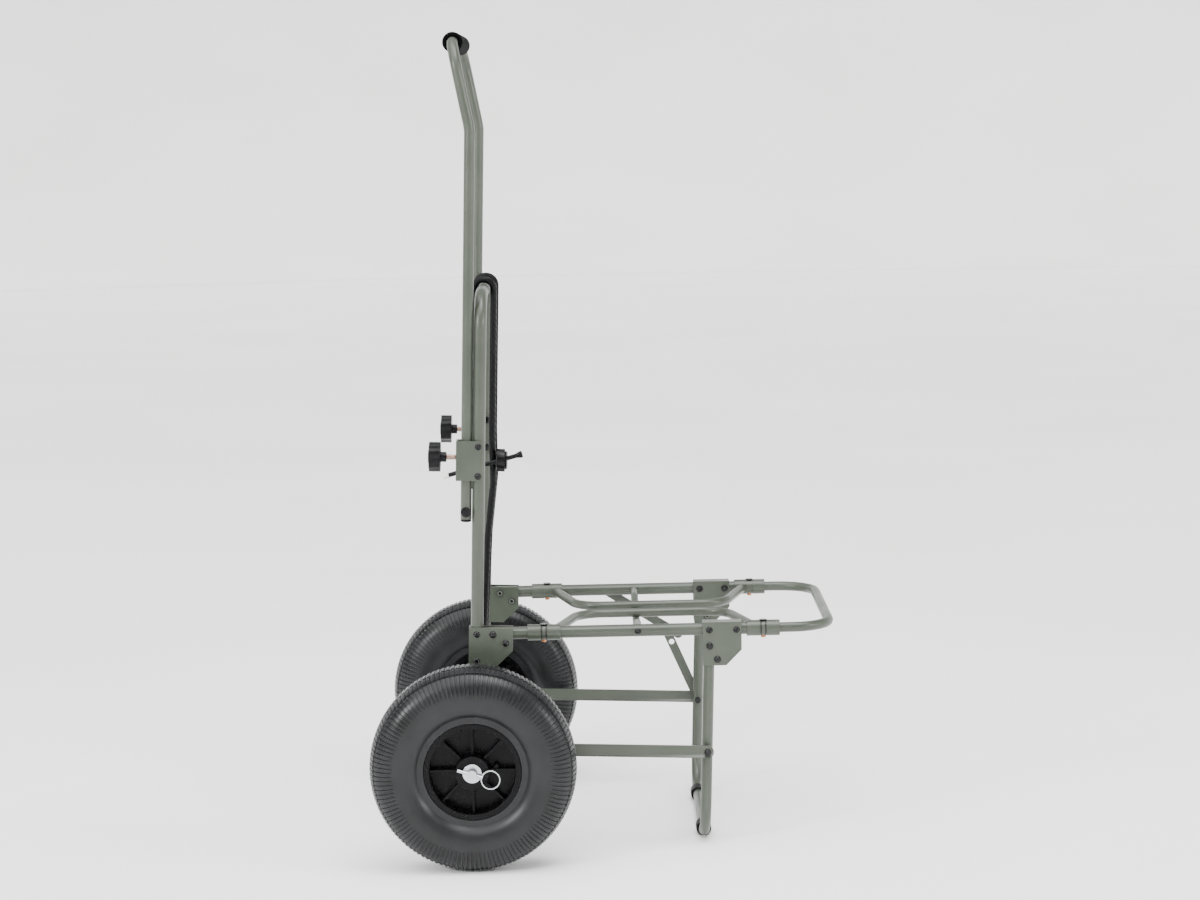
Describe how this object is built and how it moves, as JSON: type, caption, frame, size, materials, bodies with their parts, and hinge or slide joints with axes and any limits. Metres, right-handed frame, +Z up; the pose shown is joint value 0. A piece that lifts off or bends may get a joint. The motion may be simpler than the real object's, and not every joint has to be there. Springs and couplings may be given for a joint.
{
  "type": "fishing trolley",
  "caption": "Folding tackle barrow: wide-tyred wheels, tubular backrest with sliding handle, tube platform with swing-out side bars and drawn-out front loop, hinged leg frame, cords.",
  "frame": {"origin": "on the floor, under the middle of the whole trolley", "axes": "+X to the front of the platform, +Y to the side with the folding brace, +Z up to the handle"},
  "size_m": [0.595, 0.5766, 1.0458],
  "materials": {
    "painted_steel": "satin grey-green powder coat",
    "tyre_rubber": "matt moulded rubber with fine radial lugs",
    "black_plastic": "moulded, lightly textured",
    "zinc_steel": "bright zinc plate",
    "blackened_steel": "blackened steel",
    "shock_cord": "braided black sheath",
    "grip_rubber": "soft foamed sleeve",
    "foot_rubber": "matt"
  },
  "bodies": {
    "frame": {"backrest_frame": "painted_steel", "axle_shaft": "zinc_steel", "axle_tube": "painted_steel", "cord_toggle": "black_plastic", "axle_washer_near": "zinc_steel", "axle_washer_far": "zinc_steel", "rear_bracket_near": "painted_steel", "rear_bracket_far": "painted_steel", "platform_pivot_bolt_near": "blackened_steel", "platform_pivot_bolt_far": "blackened_steel", "platform_stop_bolt_near": "blackened_steel", "platform_stop_bolt_far": "blackened_steel", "strut_lug_near": "painted_steel", "strut_lug_far": "painted_steel", "handle_clamp_near": "painted_steel", "handle_clamp_far": "painted_steel", "shock_cord_near": "shock_cord", "shock_cord_far": "shock_cord"},
    "platform": {"cross_tube": "painted_steel", "rail_near": "painted_steel", "rail_far": "painted_steel", "front_bracket_near": "painted_steel", "front_bracket_far": "painted_steel", "leg_pivot_bolt_near": "blackened_steel", "leg_pivot_bolt_far": "blackened_steel", "leg_stop_bolt_near": "blackened_steel", "leg_stop_bolt_far": "blackened_steel"},
    "leg": {"leg_frame": "painted_steel", "leg_foot_near": "foot_rubber", "leg_foot_far": "foot_rubber", "strut_bolt_near": "blackened_steel", "strut_bolt_far": "blackened_steel"},
    "front_loop": {"front_loop": "painted_steel"},
    "handle": {"handle_frame": "painted_steel", "handle_grip": "grip_rubber", "handle_end_plug_near": "black_plastic", "handle_end_plug_far": "black_plastic"},
    "brace_upper": {"brace_upper_link": "painted_steel"},
    "brace_lower": {"brace_lower_link": "painted_steel"},
    "wheel_near": {"wheel_rim_near": "black_plastic", "tyre_near": "tyre_rubber"},
    "pin_near": {"ring_pin_near": "zinc_steel"},
    "strut_near": {"strut_near": "painted_steel"},
    "knob_near": {"clamp_knob_near": "black_plastic"},
    "side_near": {"side_bar_near": "painted_steel", "side_sleeve_rear_near": "painted_steel", "side_sleeve_front_near": "painted_steel"},
    "sleeve_pin_rear_near": {"sleeve_pin_rear_near": "black_plastic"},
    "sleeve_pin_front_near": {"sleeve_pin_front_near": "black_plastic"},
    "wheel_far": {"wheel_rim_far": "black_plastic", "tyre_far": "tyre_rubber"},
    "pin_far": {"ring_pin_far": "zinc_steel"},
    "strut_far": {"strut_far": "painted_steel"},
    "knob_far": {"clamp_knob_far": "black_plastic"},
    "side_far": {"side_bar_far": "painted_steel", "side_sleeve_rear_far": "painted_steel", "side_sleeve_front_far": "painted_steel"},
    "sleeve_pin_rear_far": {"sleeve_pin_rear_far": "black_plastic"},
    "sleeve_pin_front_far": {"sleeve_pin_front_far": "black_plastic"}
  },
  "joints": [
    {"name": "platform_fold", "type": "hinge", "parent": "frame", "child": "platform", "pos_m": [-0.14149, 0, 0.2835], "axis": [0, -1, 0], "range_deg": [0, 87]},
    {"name": "leg_fold", "type": "hinge", "parent": "platform", "child": "leg", "pos_m": [0.13451, 0, 0.263], "axis": [0, -1, 0], "range_deg": [-87, 0]},
    {"name": "brace_upper_turn", "type": "hinge", "parent": "platform", "child": "brace_upper", "pos_m": [-0.00019, 0.165, 0.2835], "axis": [0, -1, 0], "range_deg": [0, 37]},
    {"name": "brace_lower_turn", "type": "hinge", "parent": "leg", "child": "brace_lower", "pos_m": [0.12962, 0.168, 0.12659], "axis": [0, -1, 0], "range_deg": [-11, 0]},
    {"name": "loop_slide", "type": "slide", "parent": "platform", "child": "front_loop", "axis": [1, 0, 0], "range_m": [0, 0.1]},
    {"name": "handle_slide", "type": "slide", "parent": "frame", "child": "handle", "axis": [0.0358, 0, 0.9994], "range_m": [-0.13, 0.033]},
    {"name": "wheel_spin_near", "type": "hinge", "parent": "frame", "child": "wheel_near", "pos_m": [-0.1675, -0.24, 0.13], "axis": [0, 1, 0], "continuous": true},
    {"name": "pin_pull_near", "type": "slide", "parent": "frame", "child": "pin_near", "axis": [0.9563, 0, -0.2924], "range_m": [0, 0.035]},
    {"name": "strut_turn_near", "type": "hinge", "parent": "frame", "child": "strut_near", "pos_m": [-0.14638, -0.171, 0.14709], "axis": [0, -1, 0], "range_deg": [0, 87]},
    {"name": "knob_turn_near", "type": "hinge", "parent": "frame", "child": "knob_near", "pos_m": [-0.20236, -0.155, 0.51199], "axis": [0.9994, 0, -0.0358], "range_deg": [0, 360]},
    {"name": "side_swing_near", "type": "hinge", "parent": "platform", "child": "side_near", "pos_m": [0.06351, -0.155, 0.2835], "axis": [1, 0, 0], "range_deg": [0, 180]},
    {"name": "sleeve_pin_rear_lift_near", "type": "slide", "parent": "side_near", "child": "sleeve_pin_rear_near", "axis": [0, 0, 1], "range_m": [0, 0.0022], "stiffness_N_per_m": 200},
    {"name": "sleeve_pin_front_lift_near", "type": "slide", "parent": "side_near", "child": "sleeve_pin_front_near", "axis": [0, 0, 1], "range_m": [0, 0.0022], "stiffness_N_per_m": 200},
    {"name": "wheel_spin_far", "type": "hinge", "parent": "frame", "child": "wheel_far", "pos_m": [-0.1675, 0.24, 0.13], "axis": [0, 1, 0], "continuous": true},
    {"name": "pin_pull_far", "type": "slide", "parent": "frame", "child": "pin_far", "axis": [0.9563, 0, -0.2924], "range_m": [0, 0.035]},
    {"name": "strut_turn_far", "type": "hinge", "parent": "frame", "child": "strut_far", "pos_m": [-0.14638, 0.171, 0.14709], "axis": [0, -1, 0], "range_deg": [0, 87]},
    {"name": "knob_turn_far", "type": "hinge", "parent": "frame", "child": "knob_far", "pos_m": [-0.20236, 0.155, 0.51199], "axis": [0.9994, 0, -0.0358], "range_deg": [0, 360]},
    {"name": "side_swing_far", "type": "hinge", "parent": "platform", "child": "side_far", "pos_m": [0.06351, 0.155, 0.2835], "axis": [-1, 0, 0], "range_deg": [0, 180]},
    {"name": "sleeve_pin_rear_lift_far", "type": "slide", "parent": "side_far", "child": "sleeve_pin_rear_far", "axis": [0, 0, 1], "range_m": [0, 0.0022], "stiffness_N_per_m": 200},
    {"name": "sleeve_pin_front_lift_far", "type": "slide", "parent": "side_far", "child": "sleeve_pin_front_far", "axis": [0, 0, 1], "range_m": [0, 0.0022], "stiffness_N_per_m": 200}
  ],
  "couplings": [
    {"joint": "leg_fold", "follows": "platform_fold", "ratio": -1},
    {"joint": "brace_upper_turn", "follows": "platform_fold", "ratio": 0.42},
    {"joint": "brace_lower_turn", "follows": "platform_fold", "ratio": -0.12},
    {"joint": "strut_turn_near", "follows": "platform_fold", "ratio": 1},
    {"joint": "strut_turn_far", "follows": "platform_fold", "ratio": 1}
  ]
}
